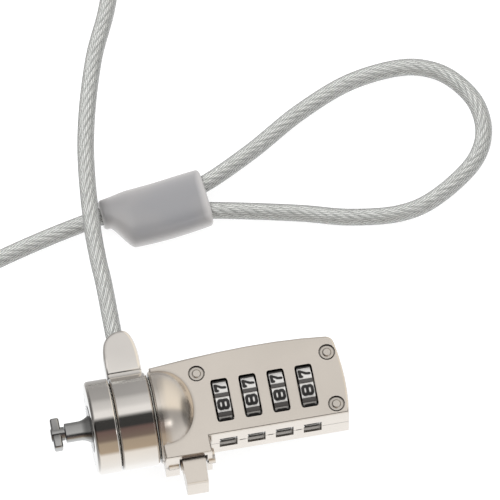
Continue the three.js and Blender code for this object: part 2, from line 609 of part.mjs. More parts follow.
function cable(parent) {
  piece(parent, 'cable_coil', bar(coilCurve(), CABLE_R, 7, 7), MATERIAL.cable());
  piece(parent, 'cable_loop', bar(loopCurve(), CABLE_R, 8, 4.5), MATERIAL.cable());
}

function cableLead(parent) {
  const from = new THREE.Vector3(CABLE_X, STOP.start + 0.2, 0);
  const to = new THREE.Vector3(CABLE_X, FLEX.y - FLEX.gap, 0);
  piece(parent, 'cable_lead', bar(new THREE.LineCurve3(from, to), CABLE_R, 8, 7), MATERIAL.cable());
}

const lock = new THREE.Group();
lock.position.x = -T_FACE;
housingShells(lock);
rivets(lock);
barrel(lock);
swivelCollar(lock);
dials(lock);
codeShaft(lock);
detentComb(lock);
resetScrew(lock);
piece(lock, 'code_spring', spring(48.6, 50.2, 1.5, 0.25, 3), MATERIAL.spring(), [0, DIAL.axisY, 0]);
tBar(lock);
lever(lock);
cableLead(lock);
cable(lock);
sleeve(lock);

export default lock;
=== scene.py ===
"""Laptop cable lock: the finished look of the lock, its dials, its coiled cable and its sleeve.

The pieces made here are built in millimetres, with X counted from the nose face, and then placed
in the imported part's frame in metres. The other CAD nodes keep their shape and get a finish.
"""

import math

import bmesh
import bpy
import numpy as np
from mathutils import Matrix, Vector


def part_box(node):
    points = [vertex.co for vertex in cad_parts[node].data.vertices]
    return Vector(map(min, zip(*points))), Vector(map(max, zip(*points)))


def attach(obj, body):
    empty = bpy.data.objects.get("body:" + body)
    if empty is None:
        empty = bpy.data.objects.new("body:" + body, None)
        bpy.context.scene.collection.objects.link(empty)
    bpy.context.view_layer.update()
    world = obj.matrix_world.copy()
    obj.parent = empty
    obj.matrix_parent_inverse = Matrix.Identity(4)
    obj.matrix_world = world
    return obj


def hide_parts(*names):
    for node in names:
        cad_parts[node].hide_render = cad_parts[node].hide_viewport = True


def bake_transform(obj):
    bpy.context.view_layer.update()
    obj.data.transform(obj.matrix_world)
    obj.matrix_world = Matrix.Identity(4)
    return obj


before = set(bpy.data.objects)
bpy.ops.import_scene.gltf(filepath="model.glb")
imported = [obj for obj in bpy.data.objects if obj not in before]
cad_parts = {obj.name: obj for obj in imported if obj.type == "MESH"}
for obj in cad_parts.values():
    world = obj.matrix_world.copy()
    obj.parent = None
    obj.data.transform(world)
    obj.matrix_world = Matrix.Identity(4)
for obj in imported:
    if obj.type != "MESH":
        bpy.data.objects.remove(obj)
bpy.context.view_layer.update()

MM = 0.001
NOSE_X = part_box("nose_cap")[0].x / MM   # the nose face, from which every X below is counted


def cad_mm(node):
    """Lowest and highest corner of a CAD node, in millimetres, X counted from the nose face."""
    low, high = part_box(node)
    return np.array(low) / MM - [NOSE_X, 0, 0], np.array(high) / MM - [NOSE_X, 0, 0]


def dial_size(node):
    """A dial's axis in Y, and its radius over the ribs."""
    low, high = cad_mm(node)
    axis_y = (low[1] + high[1]) / 2
    corners = [v.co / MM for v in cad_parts[node].data.vertices]
    return axis_y, max(math.hypot(c.y - axis_y, c.z) for c in corners)


def place_m(x, y, z):
    """A point counted in millimetres from the nose face, in the frame's metres."""
    return Vector((x + NOSE_X, y, z)) * MM


# ---------------------------------------------------------------------------------------------
# Sizes, mm

TABLE_Z = float(cad_mm("sleeve_cover")[0][2])
DIAL_COUNT = 4
LAND_DEPTH = 0.24                 # the number lands lie this far below the ribs
RIB_DEPTH = 0.17                  # how far down the dark ink reaches on a rib

CABLE_R = 1.75
CABLE_Z = -8.15
CABLE_X = 8.3
LEAD_START = 10.9
LEAD_END = 42.0
STRANDS = {"count": 7, "centre": 1.1, "r": 0.477, "core": 0.62, "lay": -17.0, "wire_lay": 6.0}
WIRES = 6
CREST = "wire_crest"              # mesh attribute: 1 along a wire, 0 in the hollow beside it

COIL = {"x": -75.0, "y": 135.0, "lead": 104.0, "inner": 50.0, "outer": 111.6}
COIL_ANGLE = {"lead": -25.0, "inner": 150.0, "leave": 645.0}
SLEEVE = {"x": 22.5, "y": 47.6, "turn": 6.0, "left": -11.6, "right": 10.4, "rim": 0.8}
NECK = {"low": -0.75, "high": 5.1, "half_height": 2.75}              # the sleeve's section at its left
BODY = {"low": -5.85, "belly": 0.6, "high": 5.75, "rise": 0.35, "half_height": 3.5}
SLEEVE_Z = -6.4
CRIMP = {"start": -5.6, "end": 6.4, "low": -2.05, "high": 2.4}
PASSAGE_GAP = 0.12                # round the cable where it passes through the soft cover

CAP = {"front_edge": 0.8, "back_edge": 0.3, "bore": 5.3, "mouth": 3.4, "wall": 0.6}
GUARD = {"foot": -0.1, "bore": 1.0, "edge": 0.2, "half_y": 1.95, "half_z": 1.4, "flare": 0.9}
ARM = {"front": 0.25, "back": 2.1, "half": 1.3, "edge": 0.42}        # counted from the T-bar's face
HUB = {"r": 1.42, "edge": 0.35, "end": 2.83}
SHAFT = {"neck": 0.7, "body": 1.5, "step": 2.8, "gear_r": 0.9, "gear_start": 16.5, "edge": 0.2}


# ---------------------------------------------------------------------------------------------
# Node materials


class Nodes:
    """A material or world node tree, with short calls for its nodes and links."""

    def __init__(self, tree):
        self.tree = tree
        tree.nodes.clear()

    def add(self, kind, inputs=None, **settings):
        node = self.tree.nodes.new(kind)
        for key, value in settings.items():
            setattr(node, key, value)
        for key, value in (inputs or {}).items():
            self.feed(node, key, value)
        return node

    def feed(self, node, key, value):
        socket = node.inputs[key]
        if isinstance(value, bpy.types.NodeSocket):
            self.tree.links.new(value, socket)
        else:
            socket.default_value = value

    def math(self, operation, a, b=0.0):
        return self.add("ShaderNodeMath", {0: a, 1: b}, operation=operation).outputs[0]

    def ramp(self, value, stops):
        node = self.add("ShaderNodeValToRGB", {0: value})
        elements = node.color_ramp.elements
        while len(elements) < len(stops):
            elements.new(0.5)
        for element, (position, colour) in zip(elements, stops):
            element.position = position
            shade = colour if isinstance(colour, tuple) else (colour,) * 3
            element.color = (*shade, 1.0)
        return node.outputs[0]

    def mix(self, share, a, b, **settings):
        return self.add("ShaderNodeMix", {0: share, 6: a, 7: b}, data_type="RGBA", **settings).outputs[2]

    def noise(self, scale, detail=3.0, stretch=(1, 1, 1)):
        where = self.add("ShaderNodeTexCoord").outputs["Object"]
        placed = self.add("ShaderNodeMapping", {"Vector": where, "Scale": stretch}).outputs[0]
        inputs = {"Vector": placed, "Scale": scale, "Detail": detail}
        return self.add("ShaderNodeTexNoise", inputs).outputs["Fac"]


def new_material(name):
    """A material with an empty node tree."""
    material = bpy.data.materials.new(name)
    material.use_nodes = True
    return material, Nodes(material.node_tree)


def painted_occlusion_shade(n, colour, distance=0.7, strength=1.2):
    """The colour with painted shade: darkened in narrow grooves and corners closer than a distance in
    millimetres.
    """
    open_sky = n.add("ShaderNodeAmbientOcclusion", {"Distance": distance * MM}, samples=8).outputs["AO"]
    share = n.math("POWER", open_sky, strength)
    return n.mix(share, (0.004, 0.004, 0.004, 1), colour)


def metal(name, colour, roughness, vary=0.04, brushed=(1, 1, 1), bump=0.02, tint=0.06):
    """Plated metal: faint cloudy colour with painted shade in grooves and corners, roughness that varies, and
    a fine grain along one direction.
    """
    material, n = new_material(name)
    cloud = n.noise(90.0, 4.0)
    grain = n.noise(2600.0, 3.0, brushed)
    dark = tuple(c * (1 - tint) for c in colour)
    light = tuple(min(1.0, c * (1 + tint)) for c in colour)
    base = n.ramp(cloud, [(0.3, dark), (0.7, light)])
    rough = n.math("MULTIPLY_ADD", grain, vary)
    rough.node.inputs[2].default_value = roughness - vary / 2
    bumped = n.add("ShaderNodeBump", {"Height": grain, "Strength": bump, "Distance": 0.0001})
    # the base colour gets painted shade in grooves and corners
    inputs = {"Base Color": painted_occlusion_shade(n, base), "Metallic": 1.0, "Roughness": rough, "Normal": bumped.outputs[0]}
    shader = n.add("ShaderNodeBsdfPrincipled", inputs)
    n.add("ShaderNodeOutputMaterial", {"Surface": shader.outputs[0]})
    return material


def dial_metal():
    """Bright dial lands with dark ribs, told apart by their distance from the dials' axis, and painted shade
    where the housing closes in round them.
    """
    material, n = new_material("dial_metal")
    axis_y, top = dial_size("dial_1")
    where = n.add("ShaderNodeTexCoord").outputs["Object"]
    split = n.add("ShaderNodeSeparateXYZ", {0: where})
    dy = n.math("SUBTRACT", split.outputs[1], axis_y * MM)
    radius = n.math("SQRT", n.math("ADD", n.math("MULTIPLY", dy, dy),
                                   n.math("MULTIPLY", split.outputs[2], split.outputs[2])))
    rib = n.math("GREATER_THAN", radius, (top - RIB_DEPTH) * MM)
    colour = n.mix(rib, (0.78, 0.765, 0.745, 1), (0.085, 0.08, 0.077, 1))
    grain = n.noise(2200.0, 3.0, (1, 8, 8))
    rough = n.math("MULTIPLY_ADD", grain, 0.16)
    rough.node.inputs[2].default_value = 0.3
    # painted shade: the dials darken inside the side slots and towards the window ends
    shaded = painted_occlusion_shade(n, colour, 3.0, 2.2)
    inputs = {"Base Color": shaded, "Metallic": 0.5, "Roughness": rough}
    shader = n.add("ShaderNodeBsdfPrincipled", inputs)
    n.add("ShaderNodeOutputMaterial", {"Surface": shader.outputs[0]})
    return material


def plain(name, colour, roughness, metallic=0.0, bump=0.05, scale=1500.0, tint=0.05, **extra):
    """Plastic, rubber or paint with a fine grain."""
    material, n = new_material(name)
    grain = n.noise(scale, 4.0)
    cloud = n.noise(120.0, 2.0)
    dark = tuple(c * (1 - tint) for c in colour)
    light = tuple(min(1.0, c * (1 + tint)) for c in colour)
    base = n.ramp(cloud, [(0.3, dark), (0.7, light)])
    rough = n.math("MULTIPLY_ADD", grain, 0.12)
    rough.node.inputs[2].default_value = roughness - 0.06
    bumped = n.add("ShaderNodeBump", {"Height": grain, "Strength": bump, "Distance": 0.0001})
    inputs = {"Base Color": base, "Metallic": metallic, "Roughness": rough, "Normal": bumped.outputs[0]}
    inputs.update(extra)
    shader = n.add("ShaderNodeBsdfPrincipled", inputs)
    n.add("ShaderNodeOutputMaterial", {"Surface": shader.outputs[0]})
    return material


def soft_cover():
    """Soft grey PVC: cloudy and glossy, with painted light that makes it paler at rims seen edge-on and
    towards its right end, where light would get through.
    """
    material, n = new_material("grey_pvc")
    cloud = n.ramp(n.noise(70.0, 2.0), [(0.35, (0.205, 0.205, 0.213)), (0.65, (0.238, 0.231, 0.229))])
    # painted light: the facing share lightens the colour at rims seen edge-on
    facing = n.add("ShaderNodeLayerWeight", {"Blend": 0.5}).outputs["Facing"]
    turn = math.radians(SLEEVE["turn"])
    where = n.add("ShaderNodeTexCoord").outputs["Object"]
    centre = place_m(SLEEVE["x"], SLEEVE["y"], 0)
    shifted = n.add("ShaderNodeVectorMath", {0: where, 1: centre}, operation="SUBTRACT")
    along = n.add("ShaderNodeVectorMath", {0: shifted.outputs[0], 1: (math.cos(turn), math.sin(turn), 0)},
                  operation="DOT_PRODUCT").outputs["Value"]
    # painted light: the mouth share lightens the colour towards the sleeve's right end
    mouth = n.math("MULTIPLY", n.math("SUBTRACT", along, 8.4 * MM), 1 / (2.4 * MM))
    mouth = n.math("MULTIPLY", n.math("MINIMUM", n.math("MAXIMUM", mouth, 0.0), 1.0), 0.8)
    rim = n.math("MAXIMUM", n.math("POWER", facing, 1.2), mouth)
    base = n.mix(rim, cloud, (0.58, 0.56, 0.55, 1))
    bumped = n.add("ShaderNodeBump", {"Height": n.noise(1800.0, 4.0), "Strength": 0.06, "Distance": 0.0001})
    inputs = {"Base Color": base, "Roughness": 0.26, "Normal": bumped.outputs[0]}
    shader = n.add("ShaderNodeBsdfPrincipled", inputs)
    n.add("ShaderNodeOutputMaterial", {"Surface": shader.outputs[0]})
    return material


def strand_steel():
    """Galvanised strand: bright wire crests, with painted shade that darkens the hollows between them."""
    material, n = new_material("strand_steel")
    cloud = n.noise(900.0, 4.0)
    tone = n.ramp(cloud, [(0.3, (0.7, 0.705, 0.69)), (0.5, (0.92, 0.925, 0.905)), (0.68, (1.0, 1.0, 0.99))])
    crest = n.add("ShaderNodeAttribute", attribute_name=CREST).outputs["Fac"]
    # painted shade: the colour is darkened towards the hollows between wires
    depth = n.ramp(crest, [(0.0, 0.34), (0.25, 0.68), (0.45, 1.0), (1.0, 1.0)])
    base = n.mix(1.0, tone, depth, blend_type="MULTIPLY")
    inputs = {"Base Color": base, "Metallic": 0.25, "Roughness": 0.3}
    shader = n.add("ShaderNodeBsdfPrincipled", inputs)
    n.add("ShaderNodeOutputMaterial", {"Surface": shader.outputs[0]})
    return material


def clear_jacket():
    """Clear, slightly milky PVC: what is under it stays visible, and its surface shines."""
    material, n = new_material("clear_jacket")
    grain = n.noise(400.0, 3.0)
    bumped = n.add("ShaderNodeBump", {"Height": grain, "Strength": 0.08, "Distance": 0.0001}).outputs[0]
    clear = n.add("ShaderNodeBsdfTransparent", {"Color": (0.985, 0.99, 0.98, 1)})
    milk = n.add("ShaderNodeBsdfDiffuse", {"Color": (0.93, 0.935, 0.915, 1), "Normal": bumped})
    shine = n.add("ShaderNodeBsdfGlossy", {"Roughness": 0.16, "Normal": bumped})
    edge = n.add("ShaderNodeLayerWeight", {"Blend": 0.5}).outputs["Facing"]
    haze = n.math("MULTIPLY_ADD", n.math("POWER", edge, 3.0), 0.4)
    haze.node.inputs[2].default_value = 0.14
    body = n.add("ShaderNodeMixShader", {0: haze, 1: clear.outputs[0], 2: milk.outputs[0]})
    fresnel = n.add("ShaderNodeFresnel", {"IOR": 1.5, "Normal": bumped}).outputs[0]
    mixed = n.add("ShaderNodeMixShader", {0: fresnel, 1: body.outputs[0], 2: shine.outputs[0]})
    n.add("ShaderNodeOutputMaterial", {"Surface": mixed.outputs[0]})
    return material


MATERIAL = {
    "housing": metal("satin_nickel", (0.735, 0.675, 0.61), 0.24, 0.05, (1, 3, 3), 0.008, 0.03),
    "polished": metal("polished_nickel", (0.79, 0.75, 0.705), 0.08, 0.03, (6, 1, 1), 0.01, 0.03),
    "steel": metal("bright_steel", (0.42, 0.415, 0.405), 0.2, 0.1, (1, 6, 6), 0.015),
    "dial": dial_metal(),
    "rivet": metal("rivet_nickel", (0.68, 0.63, 0.575), 0.28, 0.08, (1, 1, 1), 0.01),
    "brass": metal("brass", (0.72, 0.52, 0.24), 0.28, 0.1, (6, 1, 1), 0.04),
    "spring": metal("spring_steel", (0.42, 0.42, 0.41), 0.25, 0.1, (1, 1, 1), 0.04),
    "nylon": plain("natural_nylon", (0.8, 0.78, 0.7), 0.5),
    "crimp": metal("pressed_aluminium", (0.6, 0.61, 0.62), 0.4, 0.15, (1, 1, 1), 0.1),
    "cover": soft_cover(),
    "ink": plain("number_ink", (0.012, 0.011, 0.011), 0.4),
    "cable": strand_steel(),
    "jacket": clear_jacket(),
}


# ---------------------------------------------------------------------------------------------
# Meshes


def make_object(name, points, faces, material, smooth_angle=35.0):
    """A mesh from points in millimetres, X counted from the nose face."""
    placed = (np.array(points, float) + [NOSE_X, 0, 0]) * MM
    mesh = bpy.data.meshes.new(name)
    mesh.from_pydata(placed.tolist(), [], [tuple(f) for f in faces])
    mesh.validate()
    obj = bpy.data.objects.new(name, mesh)
    bpy.context.scene.collection.objects.link(obj)
    finish_mesh(obj, material, smooth_angle)
    return obj


def finish_mesh(obj, material, smooth_angle=35.0):
    """One material, outward faces and smooth shading up to an angle."""
    work = bmesh.new()
    work.from_mesh(obj.data)
    bmesh.ops.recalc_face_normals(work, faces=work.faces)
    work.to_mesh(obj.data)
    work.free()
    obj.data.materials.clear()
    obj.data.materials.append(MATERIAL[material])
    obj.data.polygons.foreach_set("use_smooth", [True] * len(obj.data.polygons))
    obj.data.set_sharp_from_angle(angle=math.radians(smooth_angle))


def turned(profile, segments=160):
    """Points and faces of an outline of [x, radius] turned about the X axis.

    An outline either has both ends on the axis or closes on itself.
    """
    points, faces, rows = [], [], []
    for x, r in profile:
        if r < 1e-9:
            rows.append([len(points)] * segments)
            points.append((x, 0.0, 0.0))
            continue
        rows.append(list(range(len(points), len(points) + segments)))
        for i in range(segments):
            a = 2 * math.pi * i / segments
            points.append((x, r * math.cos(a), r * math.sin(a)))
    pairs = list(zip(rows, rows[1:]))
    if profile[0][1] > 1e-9:
        pairs.append((rows[-1], rows[0]))
    for low, high in pairs:
        for i in range(segments):
            j = (i + 1) % segments
            face = [low[i], low[j], high[j], high[i]]
            unique = list(dict.fromkeys(face))
            if len(unique) > 2:
                faces.append(unique)
    return points, faces


def rounded(corner, radius, start, end, steps=5):
    """An arc about a corner's centre, from one angle to another in degrees, as [x, r] points."""
    angles = np.radians(np.linspace(start, end, steps + 1))
    return [(corner[0] + radius * math.cos(a), corner[1] + radius * math.sin(a)) for a in angles]


def catmull_rom(control, spacing):
    """A centripetal Catmull-Rom curve through the points, sampled about every so many millimetres."""
    p = [np.array(c, float) for c in control]
    p = [2 * p[0] - p[1], *p, 2 * p[-1] - p[-2]]
    out = []
    for p0, p1, p2, p3 in zip(p, p[1:], p[2:], p[3:]):
        d0, d1, d2 = [max(np.linalg.norm(b - a) ** 0.5, 1e-4) for a, b in ((p0, p1), (p1, p2), (p2, p3))]
        t1 = ((p1 - p0) / d0 - (p2 - p0) / (d0 + d1) + (p2 - p1) / d1) * d1
        t2 = ((p2 - p1) / d1 - (p3 - p1) / (d1 + d2) + (p3 - p2) / d2) * d1
        count = max(2, int(np.linalg.norm(p2 - p1) / 0.5))
        for s in np.linspace(0, 1, count, endpoint=False):
            a = 2 * p1 - 2 * p2 + t1 + t2
            b = -3 * p1 + 3 * p2 - 2 * t1 - t2
            out.append(((a * s + b) * s + t1) * s + p1)
    out.append(p[-2])
    out = np.array(out)
    along = np.concatenate([[0], np.cumsum(np.linalg.norm(np.diff(out, axis=0), axis=1))])
    stations = np.linspace(0, along[-1], max(2, int(along[-1] / spacing)) + 1)
    return np.stack([np.interp(stations, along, out[:, k]) for k in range(3)], 1), stations


def frames(path):
    """Two unit vectors across a path at each point, carried along it without twist."""
    tangent = np.gradient(path, axis=0)
    tangent /= np.linalg.norm(tangent, axis=1)[:, None]
    side = np.cross(tangent[0], [0, 0, 1])
    side /= np.linalg.norm(side)
    sides = [side]
    for t in tangent[1:]:
        side = side - t * (side @ t)
        side /= np.linalg.norm(side)
        sides.append(side)
    sides = np.array(sides)
    return sides, np.cross(sides, tangent)


def tube(path, across, up, radii, turn, start_cap=True, end_cap=True):
    """Points and faces of a tube whose section has the given radii, turned at each point."""
    sides = len(radii)
    angle = 2 * np.pi * np.arange(sides) / sides
    a = angle[None, :] + np.asarray(turn)[:, None]
    r = np.asarray(radii)[None, :]
    offsets = (r * np.cos(a))[..., None] * across[:, None] + (r * np.sin(a))[..., None] * up[:, None]
    points = (path[:, None] + offsets).reshape(-1, 3)
    i, k = np.meshgrid(np.arange(len(path) - 1), np.arange(sides), indexing="ij")
    j = (k + 1) % sides
    faces = np.stack([i * sides + k, i * sides + j, (i + 1) * sides + j, (i + 1) * sides + k], -1)
    last = (len(path) - 1) * sides
    ends = [list(range(sides))[::-1]] * start_cap + [[last + s for s in range(sides)]] * end_cap
    return points, faces.reshape(-1, 4).tolist() + ends


def merge(parts):
    """Several [points, faces] as one."""
    points, faces = [], []
    for some_points, some_faces in parts:
        shift = len(points)
        points.extend(some_points)
        faces.extend([[i + shift for i in face] for face in some_faces])
    return points, faces


# ---------------------------------------------------------------------------------------------
# Cable


def smoothstep(x, low=0.0, high=1.0):
    """0 below low, 1 above high, and an even curve between."""
    t = min(1.0, max(0.0, (x - low) / (high - low)))
    return t * t * (3 - 2 * t)


def lerp(a, b, t):
    return a + (b - a) * t


def sleeve_point(u, v):
    """A point of the sleeve's own frame, u along it and v across it."""
    turn = math.radians(SLEEVE["turn"])
    x = SLEEVE["x"] + u * math.cos(turn) - v * math.sin(turn)
    y = SLEEVE["y"] + u * math.sin(turn) + v * math.cos(turn)
    return (x, y, SLEEVE_Z)


def coil_controls():
    """The coil: it comes down inside itself from the lead, then winds outward on the table."""
    points = []
    station = 15.0
    a = COIL_ANGLE["lead"] + station
    while a < COIL_ANGLE["leave"] - station:
        inward = (a - COIL_ANGLE["lead"]) / (COIL_ANGLE["inner"] - COIL_ANGLE["lead"])
        outward = (a - COIL_ANGLE["inner"]) / (COIL_ANGLE["leave"] - COIL_ANGLE["inner"])
        if inward < 1:
            r = lerp(COIL["lead"], COIL["inner"], smoothstep(inward))
            z = lerp(-3 * inward, CABLE_Z, smoothstep(inward, 0.45, 1))
        else:
            r = lerp(COIL["inner"], COIL["outer"], outward)
            z = CABLE_Z
        turn = math.radians(a)
        points.append((COIL["x"] + r * math.cos(turn), COIL["y"] + r * math.sin(turn), z))
        a += station
    return points


def coil_path():
    """The lead out of the collar, the coil, and the strand that runs into the sleeve."""
    lead = [(8.1, 36.4), (8.25, 45.3), (10.2, 62.9), (14.9, 80.2), (20.2, 92.7)]
    strand = [(-52, 31), (-30, 37.5), (-11.1, 43.6), (0, 46.6)]
    return [
        (CABLE_X, LEAD_START, 0), (CABLE_X, 24, 0), (CABLE_X, 31.5, 0), *[(x, y, 0) for x, y in lead],
        *coil_controls(), *[(x, y, CABLE_Z) for x, y in strand],
        sleeve_point(SLEEVE["left"], 1.9), sleeve_point(CRIMP["start"], CRIMP["high"]),
        sleeve_point(0, CRIMP["high"])]


def loop_path():
    """The loop: out of the sleeve, round, and back into it."""
    turn = [(43.7, 57.7), (55.3, 64.6), (66.7, 69.4), (77.3, 70.7), (82.4, 69.7), (87.0, 66.9), (91.3, 60.6),
            (91.9, 53.7), (88.9, 47.6), (78.4, 40.4), (71.6, 38.8), (61.3, 39.8), (51.3, 42.5)]
    return [
        sleeve_point(0.3, CRIMP["high"]), sleeve_point(CRIMP["end"], CRIMP["high"]),
        sleeve_point(SLEEVE["right"], 2.9), *[(x, y, CABLE_Z) for x, y in turn],
        sleeve_point(SLEEVE["right"], -3.0), sleeve_point(CRIMP["end"], CRIMP["low"]),
        sleeve_point(CRIMP["start"] + 0.5, CRIMP["low"])]


def rope(name, path, along, across, up, start_cap=True, end_cap=True):
    """The twisted strands of one length of cable, and the clear jacket round them."""
    lay = 2 * math.pi * along / STRANDS["lay"]
    wires = 2 * math.pi * along / STRANDS["wire_lay"]
    crest = [1.0, 0.0, 0.0] * WIRES
    strand_radii = [STRANDS["r"] * (0.86 + 0.14 * c) for c in crest]
    core_sides = 8
    parts = [tube(path, across, up, [STRANDS["core"]] * core_sides, lay)]
    for i in range(STRANDS["count"]):
        a = lay + 2 * math.pi * i / STRANDS["count"]
        offset = np.cos(a)[:, None] * across + np.sin(a)[:, None] * up
        parts.append(tube(path + STRANDS["centre"] * offset, across, up, strand_radii, wires))
    strands = make_object(name + "_strands", *merge(parts), "cable", 80)
    values = [0.0] * (core_sides * len(path)) + crest * (STRANDS["count"] * len(path))
    strands.data.attributes.new(CREST, "FLOAT", "POINT").data.foreach_set("value", values)
    skin = tube(path, across, up, [CABLE_R] * 32, 0 * lay, start_cap, end_cap)
    jacket = make_object(name + "_jacket", *skin, "jacket", 60)
    return strands, jacket


def cables():
    """The cable in three lengths: the lead out of the collar, the coil and the loop."""
    path, along = catmull_rom(coil_path(), 0.6)
    across, up = frames(path)
    bend = int(np.argmax(path[:, 1] > LEAD_END)) + 1
    lead = rope("cable_lead", path[:bend], along[:bend], across[:bend], up[:bend], end_cap=False)
    for piece in lead:
        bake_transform(piece)
    rest = slice(bend - 1, None)
    coil = rope("cable_coil", path[rest], along[rest], across[rest], up[rest], start_cap=False)
    path, along = catmull_rom(loop_path(), 0.5)
    loop = rope("cable_loop", path, along, *frames(path))
    for piece in (*coil, *loop):
        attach(piece, "cable")
    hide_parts("cable_lead")
    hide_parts("cable_coil")
    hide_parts("cable_loop")


# ---------------------------------------------------------------------------------------------
# Sleeve


def apply_modifiers(obj):
    """Bakes an object's modifiers into its mesh."""
    graph = bpy.context.evaluated_depsgraph_get()
    mesh = bpy.data.meshes.new_from_object(obj.evaluated_get(graph))
    obj.modifiers.clear()
    obj.data = mesh


def superellipse(fullness, count):
    """Points of a rounded square of half-width 1."""
    angles = 2 * np.pi * np.arange(count) / count
    c, d = np.cos(angles), np.sin(angles)
    power = 2 / fullness
    return np.sign(c) * np.abs(c) ** power, np.sign(d) * np.abs(d) ** power


def combine(obj, tools, operation):
    """Cuts closed objects out of obj, or joins them to it, and deletes them."""
    for tool in tools:
        step = obj.modifiers.new("step", "BOOLEAN")
        step.operation, step.solver, step.object = operation, "MANIFOLD", tool
    apply_modifiers(obj)
    for tool in tools:
        bpy.data.objects.remove(tool)


def sleeve():
    """The soft cover: a narrow neck off to one side, an easy shoulder and a wide body with a rounded rim."""
    left, right, rim = SLEEVE["left"], SLEEVE["right"], SLEEVE["rim"]
    stations = [left + rim * (1 - math.cos(a)) for a in np.linspace(0, math.pi / 2, 7)]
    stations += list(np.linspace(left + rim, right - rim, 60))[1:-1]
    stations += [right - rim * (1 - math.cos(a)) for a in np.linspace(math.pi / 2, 0, 7)]
    around, over = superellipse(2.9, 72)
    points, faces = [], []
    for u in stations:
        depth = max(0.0, rim - (u - left), rim - (right - u))
        inset = rim - math.sqrt(max(rim * rim - depth * depth, 0.0))
        belly = BODY["low"] - BODY["belly"] * math.cos(math.pi * u / (right - left))
        low = lerp(NECK["low"], belly, smoothstep(u, -10.3, -6.3) ** 0.75) + inset
        high = lerp(NECK["high"], BODY["high"], smoothstep(u, left, -5.0)) - inset
        high += BODY["rise"] * smoothstep(u, -2.0, 10.0)
        half_height = lerp(NECK["half_height"], BODY["half_height"], smoothstep(u, -10.0, -5.0)) - inset
        for a, b in zip(around, over):
            x, y, z = sleeve_point(u, (low + high) / 2 + a * (high - low) / 2)
            points.append((x, y, z + b * half_height))
    sides = len(around)
    for i in range(len(stations) - 1):
        for k in range(sides):
            j = (k + 1) % sides
            faces.append([i * sides + k, (i + 1) * sides + k, (i + 1) * sides + j, i * sides + j])
    last = (len(stations) - 1) * sides
    faces += [list(range(sides)), [last + k for k in range(sides)][::-1]]
    cover = make_object("soft_sleeve", points, faces, "cover", 80)
    passages = [((left - 2, 1.9), (-4, CRIMP["high"])), ((5, CRIMP["high"]), (right + 2, 3.0)),
                ((5, CRIMP["low"]), (right + 2, -3.2))]
    tools = []
    for start, end in passages:
        path = np.array([sleeve_point(*start), sleeve_point(*end)])
        shape = tube(path, *frames(path), [CABLE_R + PASSAGE_GAP] * 48, [0, 0])
        tools.append(make_object("passage", *shape, "cover"))
    combine(cover, tools, "DIFFERENCE")
    finish_mesh(cover, "cover", 50)
    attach(cover, "cable")
    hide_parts("sleeve_cover")


# ---------------------------------------------------------------------------------------------
# Rings


def nose_cap():
    """The polished front ring, with a wide rounded front edge."""
    low, high = cad_mm("nose_cap")
    x0, x1, r = low[0], high[0], high[2]
    wide, narrow, inside = CAP["front_edge"], CAP["back_edge"], x0 + CAP["wall"]
    front = rounded((x0 + wide, r - wide), wide, 180, 90, 8)
    back = rounded((x1 - narrow, r - narrow), narrow, 90, 0, 4)
    straight = [(x0 + wide + 0.1, r), (x1 - narrow - 0.08, r)]     # keeps the side's shading straight
    profile = [(x0, CAP["mouth"]), *front, *straight, *back, (x1, CAP["bore"]), (inside, CAP["bore"]),
               (inside, CAP["mouth"])]
    cap = make_object("nose_cap_ring", *turned(profile), "polished")
    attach(cap, "lock_body")
    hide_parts("nose_cap")


def guard():
    """The sleeve that fills the laptop's slot: a rounded bar that flares into the nose, and a round foot."""
    low, high = cad_mm("guard_insert")
    tip, foot, bore, edge = low[0], GUARD["foot"], GUARD["bore"], GUARD["edge"]
    around, over = superellipse(3.0, 64)
    stations = [tip, *(tip + edge * (1 - math.cos(a)) for a in np.linspace(0.3, math.pi / 2, 5))]
    stations += list(np.linspace(tip + 1.5 * edge, foot, 30))
    points = []
    for x in stations:
        inset = edge - math.sqrt(max(edge * edge - max(0.0, tip + edge - x) ** 2, 0.0))
        flare = GUARD["flare"] * smoothstep(x, -3.0, 0.4) ** 2
        half_y, half_z = GUARD["half_y"] + flare - inset, GUARD["half_z"] + flare - inset
        points += [(x, a * half_y, b * half_z) for a, b in zip(around, over)]
    angles = 2 * np.pi * np.arange(len(around)) / len(around)
    points += [(x, bore * math.cos(a), bore * math.sin(a)) for x in (foot, tip) for a in angles]
    sides, rows = len(around), len(stations) + 2
    faces = []
    for i in range(rows):
        j = (i + 1) % rows
        for k in range(sides):
            m = (k + 1) % sides
            faces.append([i * sides + k, i * sides + m, j * sides + m, j * sides + k])
    ring = [(foot, bore), (foot, high[2] - edge), (foot + edge, high[2]), (high[0], high[2]), (high[0], bore)]
    piece = make_object("guard_sleeve", *merge([(points, faces), turned(ring, 64)]), "steel")
    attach(piece, "lock_body")
    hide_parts("guard_insert")


def soft_box(low, high, edge):
    """Points and faces of a box with rounded edges, in millimetres."""
    low, high = Vector(low), Vector(high)
    work = bmesh.new()
    bmesh.ops.create_cube(work, size=1.0)
    for vertex in work.verts:
        vertex.co = (low + high) / 2 + vertex.co * (high - low)
    bmesh.ops.bevel(work, geom=work.edges[:], offset=edge, segments=5, affect="EDGES", profile=0.5)
    work.verts.index_update()
    points = [tuple(vertex.co) for vertex in work.verts]
    faces = [[vertex.index for vertex in face.verts] for face in work.faces]
    work.free()
    return points, faces


